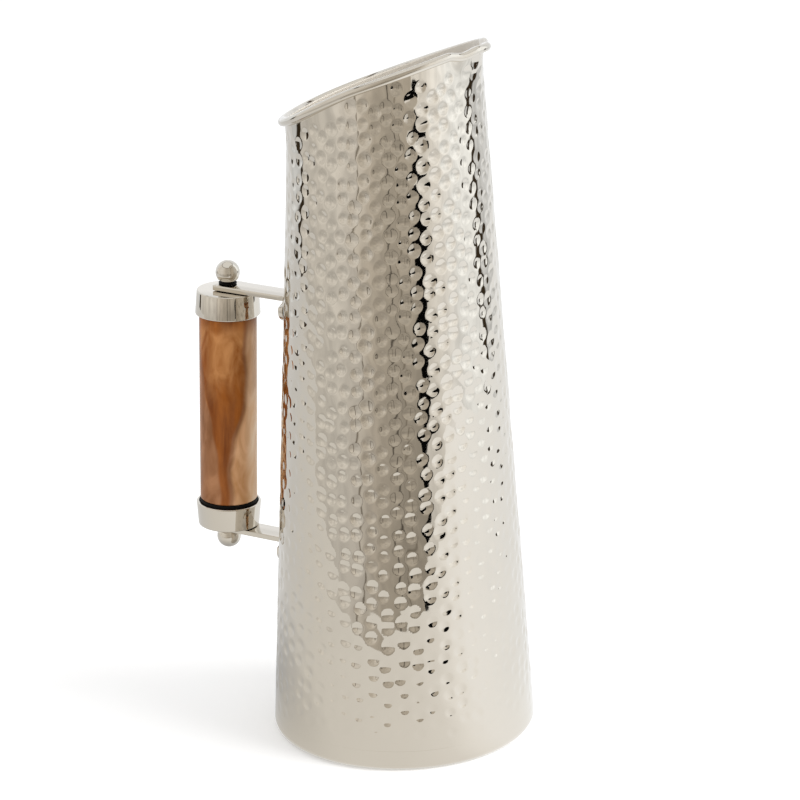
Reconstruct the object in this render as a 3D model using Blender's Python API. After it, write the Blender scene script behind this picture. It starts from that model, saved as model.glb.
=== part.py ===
"""Water pitcher: a tall hammered metal jug with a slanted mouth, a wire rim and a bolted bar handle.

The pitcher stands on the XY plane with the centre of its flat underside at the origin, +Z up.
The pouring lip points to +X and the handle stands at -X. Units are metres.
"""
import math

import bmesh
import bpy
from mathutils import Vector

MM = 0.001
GAP = 0.3 * MM                      # air kept between pieces that touch on the real object

# Body: a straight cone of sheet metal
BASE_RADIUS = 57.2 * MM             # cone radius at the floor, before the bottom edge is rounded
TAPER = 0.0589                      # how much the radius shrinks for each unit of height
SHEET = 1.2 * MM
BOTTOM_EDGE_RADIUS = 4.0 * MM
PAN_HEIGHT = 9.0 * MM
FLOOR_THICKNESS = 1.4 * MM
BODY_SEGMENTS = 88

# Mouth: the cone is cut by a slanted plane, and the wire rim follows the cut
MOUTH_HEIGHT = 286.8 * MM           # height of the slanted plane on the cone's axis
MOUTH_SLOPE = 0.38                  # rise of the plane towards the lip
WIRE_RADIUS = 1.75 * MM
WIRE_STAND_OFF = 1.0 * MM           # the wire's centre lies this far outside the wall
LIP_REACH = 4.2 * MM                # how far the pouring lip is pressed outwards
LIP_DIP = 0.2 * MM                  # how far the lip's tip is bent down
LIP_HALF_ANGLE = math.radians(24)
LIP_DEPTH = 26.0 * MM               # the lip fades out this far below the rim
PINCH_DIP = 1.5 * MM                # the rim is nipped down on both sides of the lip
PINCH_ANGLE = math.radians(15)
PINCH_HALF_ANGLE = math.radians(11)
SAG = 3.8 * MM                      # the rim runs low beside the handle, on one side more
SAG_ANGLE = math.radians(-138)
SAG_NEAR = math.radians(60)         # the sag's half angle towards the lip
SAG_FAR = math.radians(90)          # and towards the handle
SAG_REACH = 1.2 * MM                # the rim is also pushed out a little where it sags

# Handle frame: origin at the lower ball, +Z up the grip, +X towards the body
HANDLE_X = -85.1 * MM
HANDLE_Z = 74.2 * MM
HANDLE_LEAN = math.radians(2.6)     # the grip leans towards the body, nearly in line with the wall

# Heights below are along the grip, from the handle frame's origin
LOWER_BALL_HEIGHT = -0.5 * MM
UPPER_BALL_HEIGHT = 121.6 * MM
FERRULE_HEIGHT = 10.7 * MM
LOWER_FERRULE_RIM = 16.5 * MM
UPPER_FERRULE_TOP = 113.9 * MM
LOWER_FERRULE_BOTTOM = LOWER_FERRULE_RIM - FERRULE_HEIGHT
UPPER_FERRULE_RIM = UPPER_FERRULE_TOP - FERRULE_HEIGHT

FERRULE_END_RADIUS = 13.5 * MM
FERRULE_RIM_RADIUS = 14.3 * MM
FERRULE_BORE = 13.15 * MM
FERRULE_END = 1.2 * MM
EDGE_ROUNDING = 0.6 * MM

GRIP_RADIUS = 12.6 * MM
TENON_RADIUS = 11.6 * MM            # the grip's turned-down ends inside the ferrules
GASKET_BORE = 11.9 * MM
GASKET_RADIUS = 12.85 * MM
GASKET_HEIGHT = 4.2 * MM
GASKET_SHOWING = 1.7 * MM           # the lower gasket stands this far out of its ferrule

ROD_RADIUS = 2.5 * MM
ROD_BORE = ROD_RADIUS + GAP
BALL_RADIUS = 5.3 * MM
NECK_RADIUS = 3.3 * MM
NECK_HEIGHT = 0.5 * MM
BALL_BORE_DEPTH = 4.8 * MM
WASHER_THICKNESS = 0.9 * MM
WASHER_RADIUS = 3.95 * MM
WASHER_TOP_RADIUS = 3.3 * MM

ARM_THICKNESS = 2.25 * MM
ARM_HALF_WIDTH = 5.5 * MM
ARM_OVERHANG = 4.4 * MM             # square end past the tie rod's axis
BEND_RADIUS = 2.3 * MM              # of the bar's middle plane, where it turns down the wall
LOWER_FOOT_HALF_WIDTH = 10.2 * MM   # the feet are spread flat, wider than the bars
UPPER_FOOT_HALF_WIDTH = 12.0 * MM
FOOT_STRAIGHT = 1.5 * MM
FOOT_ROUND = 6.7 * MM

TURN_SEGMENTS = 40
SMALL_SEGMENTS = 24


def clear_scene():
    for obj in list(bpy.data.objects):
        bpy.data.objects.remove(obj, do_unlink=True)


def material(name, colour, roughness, metallic):
    """One Principled material, made once for each name."""
    found = bpy.data.materials.get(name)
    if found:
        return found
    made = bpy.data.materials.new(name)
    made.use_nodes = True
    shader = made.node_tree.nodes["Principled BSDF"]
    shader.inputs["Base Color"].default_value = (*colour, 1.0)
    shader.inputs["Roughness"].default_value = roughness
    shader.inputs["Metallic"].default_value = metallic
    return made


def polished_nickel(name):
    return material(name, (0.79, 0.76, 0.71), 0.08, 1.0)


def marbled_resin(name):
    return material(name, (0.55, 0.30, 0.14), 0.2, 0.0)


def black_rubber(name):
    return material(name, (0.02, 0.02, 0.02), 0.5, 0.0)


def add_object(name, data, finish, parent=None):
    """Link one named object, with its own material, under an optional parent."""
    obj = bpy.data.objects.new(name, data)
    bpy.context.collection.objects.link(obj)
    data.materials.append(finish)
    obj.parent = parent
    return obj


def mesh_from(bm, name):
    """Turn a bmesh into mesh data with outward faces and smooth round sides."""
    bmesh.ops.remove_doubles(bm, verts=bm.verts, dist=1e-7)
    bmesh.ops.recalc_face_normals(bm, faces=bm.faces)
    data = bpy.data.meshes.new(name)
    bm.to_mesh(data)
    bm.free()
    data.shade_smooth()
    data.set_sharp_from_angle(angle=math.radians(35))
    return data


def turned(name, outline, finish, parent=None, segments=TURN_SEGMENTS):
    """Spin an outline of (radius, height) points about the Z axis into a closed solid.

    An outline that starts and ends on the axis stays open there; any other is closed on itself.
    """
    bm = bmesh.new()
    verts = [bm.verts.new((radius, 0.0, height)) for radius, height in outline]
    edges = [bm.edges.new(pair) for pair in zip(verts, verts[1:])]
    on_axis = outline[0][0] == 0.0 and outline[-1][0] == 0.0
    if not on_axis:
        edges.append(bm.edges.new((verts[-1], verts[0])))
    bmesh.ops.spin(bm, geom=verts + edges, cent=(0, 0, 0), axis=(0, 0, 1), angle=math.tau,
                   steps=segments, use_merge=True)
    return add_object(name, mesh_from(bm, name), finish, parent)


def arc(centre, radius, start, end, steps):
    """Points on a circle in the (radius, height) plane, between two angles in degrees."""
    angles = [math.radians(start + (end - start) * i / steps) for i in range(steps + 1)]
    return [(centre[0] + radius * math.cos(a), centre[1] + radius * math.sin(a)) for a in angles]


def join_rings(bm, lower, upper):
    count = len(lower)
    for i in range(count):
        j = (i + 1) % count
        bm.faces.new((lower[i], lower[j], upper[j], upper[i]))


# ---- body -------------------------------------------------------------------------------------

def wall_radius(height):
    return BASE_RADIUS - TAPER * height


def bump(angle, middle, half_angle):
    """A cosine bump: one in the middle, falling to zero at the half angle on either side."""
    turn = abs(math.remainder(angle - middle, math.tau))
    if turn >= half_angle:
        return 0.0
    return 0.5 + 0.5 * math.cos(math.pi * turn / half_angle)


def lip_weight(angle):
    return bump(angle, 0.0, LIP_HALF_ANGLE)


def sag_weight(angle):
    towards_lip = math.remainder(angle - SAG_ANGLE, math.tau) > 0
    return bump(angle, SAG_ANGLE, SAG_NEAR if towards_lip else SAG_FAR)


def mouth_height(angle):
    """Height of the slanted cut where it meets the cone, less the rim's dips and its sag."""
    rise = MOUTH_SLOPE * math.cos(angle)
    cut = (MOUTH_HEIGHT + rise * BASE_RADIUS) / (1.0 + rise * TAPER)
    pinch = bump(angle, PINCH_ANGLE, PINCH_HALF_ANGLE) + bump(angle, -PINCH_ANGLE, PINCH_HALF_ANGLE)
    return cut - LIP_DIP * lip_weight(angle) - PINCH_DIP * pinch - SAG * sag_weight(angle)


def outer_radius(angle, height):
    """The cone's radius, plus the outward press of the lip and of the sag near the rim."""
    below_rim = mouth_height(angle) - height
    fade = max(0.0, 1.0 - below_rim / LIP_DEPTH) ** 2
    return wall_radius(height) + (LIP_REACH * lip_weight(angle) + SAG_REACH * sag_weight(angle)) * fade


def body_angles():
    return [math.tau * i / BODY_SEGMENTS for i in range(BODY_SEGMENTS)]


def wall_ring(bm, fraction, inset):
    """One ring of the wall, a fraction of the way from the pan to the rim."""
    ring = []
    low = PAN_HEIGHT + GAP
    for angle in body_angles():
        high = mouth_height(angle) - WIRE_RADIUS - GAP
        height = low + fraction * (high - low)
        radius = outer_radius(angle, height) - inset
        ring.append(bm.verts.new((radius * math.cos(angle), radius * math.sin(angle), height)))
    return ring


def make_body_shell():
    """The hammered wall, as a plain sheet of even thickness from the pan up to the wire."""
    fractions = (0.0, 0.3, 0.6, 0.9, 0.93, 0.96, 0.98, 1.0)
    bm = bmesh.new()
    outer = [wall_ring(bm, fraction, 0.0) for fraction in fractions]
    inner = [wall_ring(bm, fraction, SHEET) for fraction in fractions]
    loop = outer + inner[::-1]
    for lower, upper in zip(loop, loop[1:] + loop[:1]):
        join_rings(bm, lower, upper)
    add_object("body_shell", mesh_from(bm, "body_shell"), polished_nickel("hammered_nickel"))


def make_base_pan():
    """The drawn bottom: a flat floor, a rounded edge and a short upstand that carries the wall."""
    edge_centre = (wall_radius(BOTTOM_EDGE_RADIUS) - BOTTOM_EDGE_RADIUS, BOTTOM_EDGE_RADIUS)
    inner_edge = BOTTOM_EDGE_RADIUS - SHEET
    inner_centre = (edge_centre[0], FLOOR_THICKNESS + inner_edge)
    top = wall_radius(PAN_HEIGHT)
    outline = [(0.0, 0.0)]
    outline += arc(edge_centre, BOTTOM_EDGE_RADIUS, -90, 0, 6)
    outline += [(top, PAN_HEIGHT), (top - SHEET, PAN_HEIGHT)]
    outline += arc(inner_centre, inner_edge, 0, -90, 4)
    outline += [(0.0, FLOOR_THICKNESS)]
    turned("base_pan", outline, polished_nickel("base_nickel"), segments=BODY_SEGMENTS)


def make_rim_wire():
    """A round wire that follows the slanted mouth and its pouring lip."""
    curve = bpy.data.curves.new("rim_wire", "CURVE")
    curve.dimensions = "3D"
    curve.bevel_depth = WIRE_RADIUS
    curve.bevel_resolution = 2
    spline = curve.splines.new("POLY")
    spline.points.add(BODY_SEGMENTS - 1)
    for point, angle in zip(spline.points, body_angles()):
        height = mouth_height(angle)
        radius = outer_radius(angle, height) + WIRE_STAND_OFF
        point.co = (radius * math.cos(angle), radius * math.sin(angle), height, 1.0)
    spline.use_cyclic_u = True
    spline.use_smooth = True
    add_object("rim_wire", curve, polished_nickel("rim_nickel"))


# ---- handle -----------------------------------------------------------------------------------

def make_handle_frame():
    frame = bpy.data.objects.new("handle_frame", None)
    bpy.context.collection.objects.link(frame)
    frame.location = (HANDLE_X, 0.0, HANDLE_Z)
    frame.rotation_euler = (0.0, HANDLE_LEAN, 0.0)
    return frame


def wall_in_handle_frame(height):
    """Distance from the grip's axis to the body's wall, at a height in the handle frame."""
    cos_lean = math.cos(HANDLE_LEAN)
    sin_lean = math.sin(HANDLE_LEAN)
    start = TAPER * HANDLE_Z - BASE_RADIUS - HANDLE_X
    return (start + height * (TAPER * cos_lean - sin_lean)) / (cos_lean + TAPER * sin_lean)


def arm_stations(bend_start, turn, foot_half_width):
    """Lengths along the bar at which it has a cross-section, and the half width at each."""
    bend_end = bend_start + BEND_RADIUS * turn
    round_start = bend_end + FOOT_STRAIGHT
    stations = [(-ARM_OVERHANG, ARM_HALF_WIDTH), (bend_start * 0.8, ARM_HALF_WIDTH)]
    steps = 6
    for i in range(steps + 1):
        along = bend_start + (bend_end - bend_start) * i / steps
        stations.append((along, ARM_HALF_WIDTH + (foot_half_width - ARM_HALF_WIDTH) * i / steps))
    for i in range(steps + 1):
        swing = math.radians(80) * i / steps
        stations.append((round_start + FOOT_ROUND * math.sin(swing), foot_half_width * math.cos(swing)))
    return stations


def make_arm(name, under_face, foot_half_width, frame):
    """A flat bar from the tie rod to the wall, its end bent down into a rounded foot."""
    middle = under_face + ARM_THICKNESS / 2
    wall_turn = math.atan(TAPER) - HANDLE_LEAN
    turn = math.pi / 2 + wall_turn
    outside = BEND_RADIUS + ARM_THICKNESS / 2
    contact = middle - BEND_RADIUS + outside * math.cos(turn)
    bend_start = wall_in_handle_frame(contact) - GAP - outside * math.sin(turn)
    centre = Vector((bend_start, 0.0, middle - BEND_RADIUS))

    def place(along, across, side):
        """Bend the flat bar: straight along X, round the bend, then down the wall."""
        swing = min(max((along - bend_start) / BEND_RADIUS, 0.0), turn)
        normal = Vector((math.sin(swing), 0.0, math.cos(swing)))
        heading = Vector((math.cos(swing), 0.0, -math.sin(swing)))
        if along < bend_start:
            past = along - bend_start
        else:
            past = max(along - bend_start - BEND_RADIUS * turn, 0.0)
        spot = centre + normal * (BEND_RADIUS + side * ARM_THICKNESS / 2) + heading * past
        return (spot.x, across, spot.z)

    bm = bmesh.new()
    loops = []
    for along, half in arm_stations(bend_start, turn, foot_half_width):
        corners = ((-half, -1), (half, -1), (half, 1), (-half, 1))
        loops.append([bm.verts.new(place(along, across, side)) for across, side in corners])
    for first, second in zip(loops, loops[1:]):
        join_rings(bm, first, second)
    bm.faces.new(loops[0])
    bm.faces.new(loops[-1])
    arm = add_object(name, mesh_from(bm, name), polished_nickel("arm_nickel"), frame)

    drill_data = bmesh.new()
    bmesh.ops.create_cone(drill_data, cap_ends=True, segments=SMALL_SEGMENTS, radius1=ROD_BORE,
                          radius2=ROD_BORE, depth=4 * ARM_THICKNESS)
    drill = add_object(name + "_drill", mesh_from(drill_data, name + "_drill"),
                       polished_nickel("arm_nickel"), frame)
    drill.location = (0.0, 0.0, middle)
    drill.hide_render = True
    drill.display_type = "WIRE"
    hole = arm.modifiers.new("rod_hole", "BOOLEAN")
    hole.operation = "DIFFERENCE"
    hole.solver = "EXACT"
    hole.object = drill


def make_ferrule(name, closed_end, rim, frame):
    """A turned cup with a slight flare: its closed end takes the rod, its rim holds the grip."""
    up = 1.0 if rim > closed_end else -1.0
    inside = closed_end + up * FERRULE_END
    lip = EDGE_ROUNDING * 0.7
    outline = [
        (ROD_BORE, closed_end),
        (FERRULE_END_RADIUS - EDGE_ROUNDING, closed_end),
        (FERRULE_END_RADIUS - 0.3 * EDGE_ROUNDING, closed_end + up * 0.3 * EDGE_ROUNDING),
        (FERRULE_END_RADIUS, closed_end + up * EDGE_ROUNDING),
        (FERRULE_RIM_RADIUS, rim - up * lip),
        (FERRULE_RIM_RADIUS - 0.3 * lip, rim - up * 0.3 * lip),
        (FERRULE_RIM_RADIUS - lip, rim),
        (FERRULE_BORE, rim),
        (FERRULE_BORE, inside),
        (ROD_BORE, inside),
    ]
    turned(name, outline, polished_nickel("ferrule_nickel"), frame)


def make_grip(frame):
    """The marbled resin bar, drilled through, with a thinner tenon at each end."""
    bottom = LOWER_FERRULE_BOTTOM + FERRULE_END + GAP
    top = UPPER_FERRULE_TOP - FERRULE_END - GAP
    lower_shoulder = LOWER_FERRULE_RIM + GASKET_SHOWING + GAP
    upper_shoulder = UPPER_FERRULE_RIM - GAP
    outline = [
        (ROD_BORE, bottom), (TENON_RADIUS, bottom),
        (TENON_RADIUS, lower_shoulder), (GRIP_RADIUS, lower_shoulder),
        (GRIP_RADIUS, upper_shoulder), (TENON_RADIUS, upper_shoulder),
        (TENON_RADIUS, top), (ROD_BORE, top),
    ]
    turned("grip", outline, marbled_resin("marbled_resin"), frame)


def make_gasket(name, bottom, frame):
    outline = [
        (GASKET_BORE, bottom), (GASKET_RADIUS, bottom),
        (GASKET_RADIUS, bottom + GASKET_HEIGHT), (GASKET_BORE, bottom + GASKET_HEIGHT),
    ]
    turned(name, outline, black_rubber("black_rubber"), frame)


def make_finial(name, centre, flat, frame):
    """A ball nut: a sphere on a short neck, drilled from its flat for the rod's end."""
    away = 1.0 if centre > flat else -1.0
    bore_end = flat + away * BALL_BORE_DEPTH
    neck = flat + away * NECK_HEIGHT
    start = math.degrees(math.asin(max(-1.0, (neck - centre) * away / BALL_RADIUS)))
    sphere = arc((0.0, 0.0), BALL_RADIUS, start, 90, 9)[:-1]
    outline = [(0.0, bore_end), (ROD_BORE, bore_end), (ROD_BORE, flat), (NECK_RADIUS, flat),
               (NECK_RADIUS, neck)]
    outline += [(radius, centre + away * height) for radius, height in sphere]
    outline += [(0.0, centre + away * BALL_RADIUS)]
    turned(name, outline, polished_nickel("finial_nickel"), frame, SMALL_SEGMENTS)


def make_washer(bottom, frame):
    outline = [
        (ROD_BORE, bottom), (WASHER_RADIUS, bottom),
        (WASHER_RADIUS, bottom + WASHER_THICKNESS * 0.4),
        (WASHER_TOP_RADIUS, bottom + WASHER_THICKNESS), (ROD_BORE, bottom + WASHER_THICKNESS),
    ]
    turned("finial_washer", outline, black_rubber("washer_rubber"), frame, SMALL_SEGMENTS)


def make_tie_rod(bottom, top, frame):
    outline = [(0.0, bottom), (ROD_RADIUS, bottom), (ROD_RADIUS, top), (0.0, top)]
    turned("tie_rod", outline, material("rod_steel", (0.6, 0.6, 0.6), 0.35, 1.0), frame,
           SMALL_SEGMENTS)


def make_handle():
    frame = make_handle_frame()
    lower_arm_face = LOWER_FERRULE_BOTTOM - GAP - ARM_THICKNESS
    upper_arm_face = UPPER_FERRULE_TOP + GAP
    lower_flat = lower_arm_face - GAP
    washer_bottom = upper_arm_face + ARM_THICKNESS + GAP
    upper_flat = washer_bottom + WASHER_THICKNESS + GAP

    make_arm("lower_arm", lower_arm_face, LOWER_FOOT_HALF_WIDTH, frame)
    make_arm("upper_arm", upper_arm_face, UPPER_FOOT_HALF_WIDTH, frame)
    make_ferrule("lower_ferrule", LOWER_FERRULE_BOTTOM, LOWER_FERRULE_RIM, frame)
    make_ferrule("upper_ferrule", UPPER_FERRULE_TOP, UPPER_FERRULE_RIM, frame)
    make_grip(frame)
    make_gasket("lower_gasket", LOWER_FERRULE_RIM + GASKET_SHOWING - GASKET_HEIGHT, frame)
    make_gasket("upper_gasket", UPPER_FERRULE_RIM, frame)
    make_finial("lower_finial", LOWER_BALL_HEIGHT, lower_flat, frame)
    make_finial("upper_finial", UPPER_BALL_HEIGHT, upper_flat, frame)
    make_washer(washer_bottom, frame)
    make_tie_rod(lower_flat - BALL_BORE_DEPTH + GAP, upper_flat + BALL_BORE_DEPTH - GAP, frame)


clear_scene()
make_base_pan()
make_body_shell()
make_rim_wire()
make_handle()
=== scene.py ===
import math

import bpy
import numpy as np
from mathutils import Matrix, Vector


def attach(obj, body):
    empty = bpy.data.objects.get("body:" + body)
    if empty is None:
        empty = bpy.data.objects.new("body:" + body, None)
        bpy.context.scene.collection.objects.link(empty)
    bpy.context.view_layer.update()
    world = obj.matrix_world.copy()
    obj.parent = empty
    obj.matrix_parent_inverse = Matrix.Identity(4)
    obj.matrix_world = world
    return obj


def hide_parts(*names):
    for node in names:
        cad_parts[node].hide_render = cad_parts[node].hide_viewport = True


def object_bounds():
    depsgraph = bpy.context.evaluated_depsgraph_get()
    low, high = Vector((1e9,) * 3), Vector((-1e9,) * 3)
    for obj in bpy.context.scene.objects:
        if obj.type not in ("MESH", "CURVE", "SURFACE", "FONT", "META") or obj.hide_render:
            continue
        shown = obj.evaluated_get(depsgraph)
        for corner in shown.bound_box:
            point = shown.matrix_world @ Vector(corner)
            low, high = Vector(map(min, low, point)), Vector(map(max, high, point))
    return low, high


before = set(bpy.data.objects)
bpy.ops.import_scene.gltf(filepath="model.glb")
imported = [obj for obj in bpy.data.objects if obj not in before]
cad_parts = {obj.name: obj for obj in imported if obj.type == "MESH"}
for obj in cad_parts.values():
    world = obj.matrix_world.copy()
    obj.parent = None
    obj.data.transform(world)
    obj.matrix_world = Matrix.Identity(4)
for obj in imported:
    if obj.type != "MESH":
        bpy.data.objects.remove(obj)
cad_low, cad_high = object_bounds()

# ---- Camera -----------------------------------------------------------------------------------
# A long lens 1.3 m away, a little above the mouth, looking down at the handle and the near wall.
# It is rolled by less than two degrees, so that the pitcher seems to lean a little to the left.

mm = 0.001
camera_place = Vector((551.2, -1081.9, 537.3)) * mm
look_turn = math.radians(116.907)
look_down = math.radians(17.826)
camera_roll = math.radians(-1.645)

ahead = Vector((math.cos(look_turn) * math.cos(look_down),
                math.sin(look_turn) * math.cos(look_down),
                -math.sin(look_down)))
level_right = ahead.cross(Vector((0, 0, 1))).normalized()
level_up = level_right.cross(ahead)
right = level_right * math.cos(camera_roll) + level_up * math.sin(camera_roll)
up = level_up * math.cos(camera_roll) - level_right * math.sin(camera_roll)

lens = bpy.data.cameras.new("long_lens")
lens.sensor_width = 36.0
lens.lens = 134.74
lens.clip_start = 0.05
lens.clip_end = 40.0
camera = bpy.data.objects.new("camera", lens)
bpy.context.scene.collection.objects.link(camera)
camera.matrix_world = Matrix((
    (right.x, up.x, -ahead.x, camera_place.x),
    (right.y, up.y, -ahead.y, camera_place.y),
    (right.z, up.z, -ahead.z, camera_place.z),
    (0, 0, 0, 1)))
bpy.context.scene.camera = camera

# ---- Hammered wall ----------------------------------------------------------------------------
# The body is one sheet of brass rolled into a straight cone, hammered all over from outside
# with a ball-ended punch in upright columns, pressed out at the lip, then nickel plated and
# polished. The sheet is modelled in two halves that meet at the lip and behind the handle.

base_radius = 57.2 * mm
taper = 0.0589
sheet = 1.2 * mm
wall_foot = 9.15 * mm
mouth_middle = 286.8 * mm
mouth_slope = 0.38
lip_reach = 4.2 * mm
lip_dip = 0.2 * mm
lip_half_angle = math.radians(24)
lip_depth = 26.0 * mm
pinch_dip = 1.5 * mm
pinch_angle = math.radians(15)
pinch_half_angle = math.radians(11)
sag = 3.8 * mm
sag_angle = math.radians(-138)
sag_near = math.radians(60)
sag_far = math.radians(90)
sag_reach = 1.2 * mm
wall_below_bead = 1.5 * mm

mark_columns = 54
mark_pitch = 7.8 * mm
mark_radius = 2.65 * mm
mark_depth = 0.33 * mm
lowest_mark = 13.0 * mm
lowest_mark_depth = 0.45
full_depth_above = 26.0 * mm
bare_below_rim = 5.0 * mm
edge_softness = 0.06
sway = 0.06 * mm

half_columns = 236
outer_rows = 372
inner_rows = 40
nickel_colour = (0.66, 0.615, 0.545)


def wall_radius(height):
    """Radius of the plain cone: the base radius less the taper times the height."""
    return base_radius - taper * height


def bump(angle, middle, half_angle):
    """A cosine bump: one in the middle, zero from the half angle on."""
    turn = np.abs((angle - middle + math.pi) % math.tau - math.pi)
    return np.where(turn < half_angle, 0.5 + 0.5 * np.cos(math.pi * turn / half_angle), 0.0)


def lip_weight(angle):
    """One at the lip's tip, zero outside the lip."""
    return bump(angle, 0.0, lip_half_angle)


def sag_weight(angle):
    """A bump beside the handle, steeper on its lip side than on its handle side."""
    turn = (angle - sag_angle + math.pi) % math.tau - math.pi
    return np.where(turn > 0, bump(angle, sag_angle, sag_near), bump(angle, sag_angle, sag_far))


def mouth_height(angle):
    """The cone cut by a plane that rises towards the lip, less the pinch, the dip and the sag."""
    rise = mouth_slope * np.cos(angle)
    cut = (mouth_middle + rise * base_radius) / (1 + rise * taper)
    pinch = bump(angle, pinch_angle, pinch_half_angle) + bump(angle, -pinch_angle, pinch_half_angle)
    return cut - lip_dip * lip_weight(angle) - pinch_dip * pinch - sag * sag_weight(angle)


def outer_radius(angle, height):
    """The cone plus the press of the lip and the sag, fading as a square below the rim."""
    fade = np.clip(1 - (mouth_height(angle) - height) / lip_depth, 0, None) ** 2
    return wall_radius(height) + (lip_reach * lip_weight(angle) + sag_reach * sag_weight(angle)) * fade


def smooth_step(value, start, end):
    """0 before start and 1 after end, with the cubic 3t^2 - 2t^3 between them."""
    t = np.clip((value - start) / (end - start), 0, 1)
    return t * t * (3 - 2 * t)


hammer = np.random.default_rng(27)
mark_rows = int(cad_high.z / mark_pitch) + 3
column_start = (0.5 * (np.arange(mark_columns) % 2) + hammer.uniform(-0.18, 0.18, mark_columns)) % 1
mark_lift = hammer.uniform(-0.20, 0.20, (mark_columns, mark_rows)) * mark_pitch
mark_shift = hammer.uniform(-0.17, 0.17, (mark_columns, mark_rows))
mark_size = hammer.uniform(0.82, 1.10, (mark_columns, mark_rows)) * mark_radius
mark_press = hammer.uniform(0.65, 1.25, (mark_columns, mark_rows)) * mark_depth


def hammer_depth(angle, height):
    """How far the wall is pressed in. Each mark is a bowl, depth * (1 - (distance / radius)^2).

    A point takes the deepest bowl of the nine nearest marks, and ln(1 + e^x) rounds the edge.
    """
    column_width = math.tau / mark_columns
    deepest = np.full(angle.shape, -9.0)
    scale = np.full(angle.shape, mark_depth)
    for side in (-1, 0, 1):
        place = np.floor(angle / column_width) + side
        column = place.astype(int) % mark_columns
        for step in (-1, 0, 1):
            row = np.floor(height / mark_pitch - column_start[column]).astype(int) + step
            row = np.clip(row, 0, mark_rows - 1)
            centre_angle = (place + 0.5 + mark_shift[column, row]) * column_width
            centre_height = (row + 0.5 + column_start[column]) * mark_pitch + mark_lift[column, row]
            across = (angle - centre_angle) * wall_radius(height)
            reach = np.hypot(across, height - centre_height) / mark_size[column, row]
            bowl = 1 - reach ** 2
            below_rim = mouth_height(centre_angle) - centre_height
            used = (centre_height > lowest_mark) & (below_rim > bare_below_rim)
            better = used & (bowl > deepest)
            deepest = np.where(better, bowl, deepest)
            rise = smooth_step(centre_height, lowest_mark, full_depth_above)
            fade = lowest_mark_depth + (1 - lowest_mark_depth) * rise
            scale = np.where(better, mark_press[column, row] * fade, scale)
    return scale * edge_softness * np.log1p(np.exp(np.clip(deepest / edge_softness, -40, 40)))


def wall_sway(angle, height):
    """The uneven spring of a hammered sheet: a sum of slow sine waves round and up the wall."""
    waves = np.random.default_rng(5)
    total = np.zeros(angle.shape)
    for _ in range(14):
        turns = waves.integers(4, 26)
        climb = waves.uniform(60, 420)
        start = waves.uniform(0, math.tau)
        total += np.sin(turns * angle + climb * height + start) * 9 / (9 + turns)
    near_rim = smooth_step(mouth_height(angle) - height, 2 * mm, 9 * mm)
    return sway * total * near_rim * smooth_step(height, wall_foot, 24 * mm)


def wall_points(angle, height, inset, marks):
    """A point of the wall: outer radius, less the hammering and an inset, turned by its angle."""
    pressed = hammer_depth(angle, height) * marks + wall_sway(angle, height)
    radius = outer_radius(angle, height) - inset - pressed
    return np.stack([radius * np.cos(angle), radius * np.sin(angle), height], axis=-1)


def grid_normals(points, flip=1.0):
    """Unit cross product of the two central differences of a grid of points."""
    around = np.gradient(points, axis=0)
    along = np.gradient(points, axis=1)
    normal = np.cross(around, along) * flip
    return normal / np.linalg.norm(normal, axis=-1, keepdims=True)


def grid_faces(across, along, first=0, wrap=False):
    """Quads between neighbours of a grid whose point (i, j) has number first + i * along + j."""
    i = np.arange(across if wrap else across - 1)
    j = np.arange(along - 1)
    i, j = np.meshgrid(i, j, indexing="ij")
    k = (i + 1) % across
    quads = np.stack([i * along + j, k * along + j, k * along + j + 1, i * along + j + 1], axis=-1)
    return quads.reshape(-1, 4) + first


def enclosed_volume(points, faces):
    """Volume by the divergence theorem: a sixth of each triangle's triple product, summed."""
    total = 0.0
    for group in faces:
        for k in range(1, group.shape[1] - 1):
            a, b, c = points[group[:, 0]], points[group[:, k]], points[group[:, k + 1]]
            total += np.einsum("ij,ij->i", a, np.cross(b, c)).sum() / 6
    return total


def make_piece(name, points, faces, finish, normals=None, sharp_over=32):
    """A mesh from arrays: faces is a list of number tables, one for each count of corners."""
    if enclosed_volume(points, faces) < 0:
        faces = [group[:, ::-1] for group in faces]
    sizes = np.concatenate([np.full(len(group), group.shape[1]) for group in faces])
    corners = np.concatenate([group.ravel() for group in faces])
    mesh = bpy.data.meshes.new(name)
    mesh.vertices.add(len(points))
    mesh.vertices.foreach_set("co", points.astype(np.float32).ravel())
    mesh.loops.add(len(corners))
    mesh.loops.foreach_set("vertex_index", corners.astype(np.int32))
    mesh.polygons.add(len(sizes))
    starts = np.concatenate([[0], np.cumsum(sizes)[:-1]])
    mesh.polygons.foreach_set("loop_start", starts.astype(np.int32))
    mesh.update(calc_edges=True)
    mesh.shade_smooth()
    mesh.set_sharp_from_angle(angle=math.radians(sharp_over))
    if normals is not None:
        mesh.normals_split_custom_set_from_vertices(normals.astype(np.float32).tolist())
    mesh.materials.append(finish)
    piece = bpy.data.objects.new(name, mesh)
    bpy.context.scene.collection.objects.link(piece)
    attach(piece, "root")
    return piece


def set_inputs(node, values):
    """Puts constant values on a node's own sockets."""
    for socket, value in values.items():
        node.inputs[socket].default_value = value
    return node


def bare_finish(name, values):
    """A material with only its shader set, and what is needed to add nodes to it."""
    finish = bpy.data.materials.new(name)
    finish.use_nodes = True
    nodes = finish.node_tree.nodes
    shader = set_inputs(nodes["Principled BSDF"], values)
    return finish, nodes.new, finish.node_tree.links.new, shader


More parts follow.
